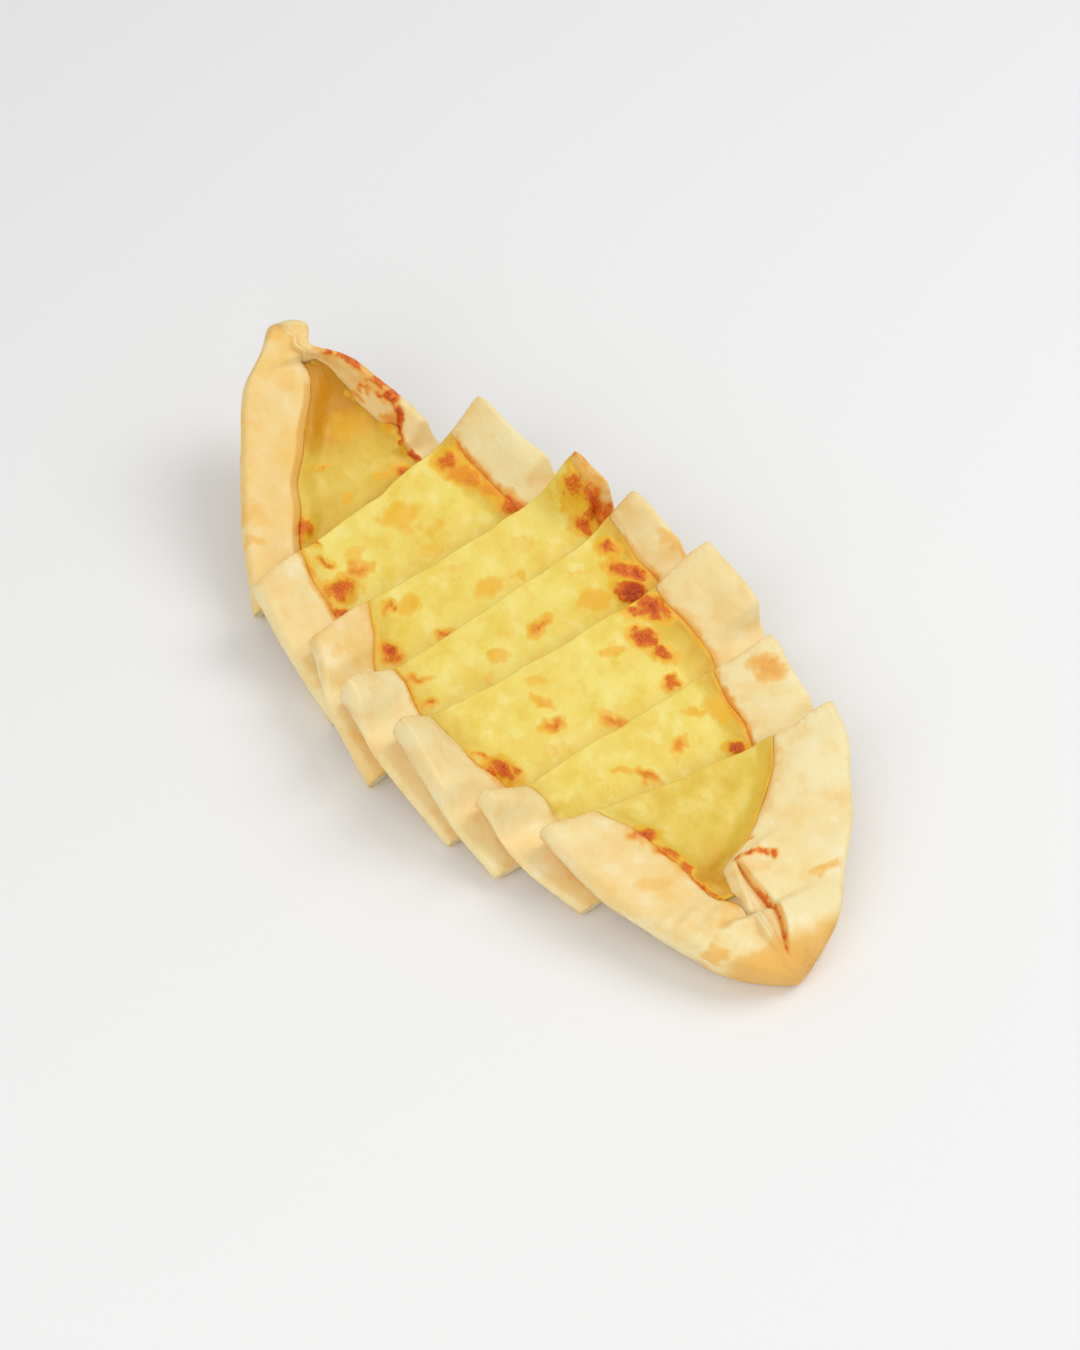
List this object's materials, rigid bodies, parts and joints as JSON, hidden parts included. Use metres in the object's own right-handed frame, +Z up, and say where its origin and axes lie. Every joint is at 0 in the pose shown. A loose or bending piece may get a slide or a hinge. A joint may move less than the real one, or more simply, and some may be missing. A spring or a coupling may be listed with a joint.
{
  "type": "turkish pide",
  "caption": "Boat-shaped Turkish flatbread with folded rims and a baked cheese filling, cut across into slices that lie fanned in a row, each leaning on the one before.",
  "frame": {"origin": "centre of the bounding box on the table plane", "axes": "+X along the row of slices, from the raised tip to the tip that lies on the table; +Y across the slices; +Z up"},
  "size_m": [0.299, 0.1394, 0.0576],
  "materials": {
    "crust": "baked wheat dough, matte, pale with golden and brown blisters",
    "cheese": "melted and browned cheese, slightly glossy"
  },
  "bodies": {
    "root": {"crust_1": "crust", "crust_2": "crust", "crust_3": "crust", "crust_4": "crust", "crust_5": "crust", "crust_6": "crust", "crust_7": "crust", "cheese_1": "cheese", "cheese_2": "cheese", "cheese_3": "cheese", "cheese_4": "cheese", "cheese_5": "cheese", "cheese_6": "cheese", "cheese_7": "cheese"}
  },
  "joints": []
}
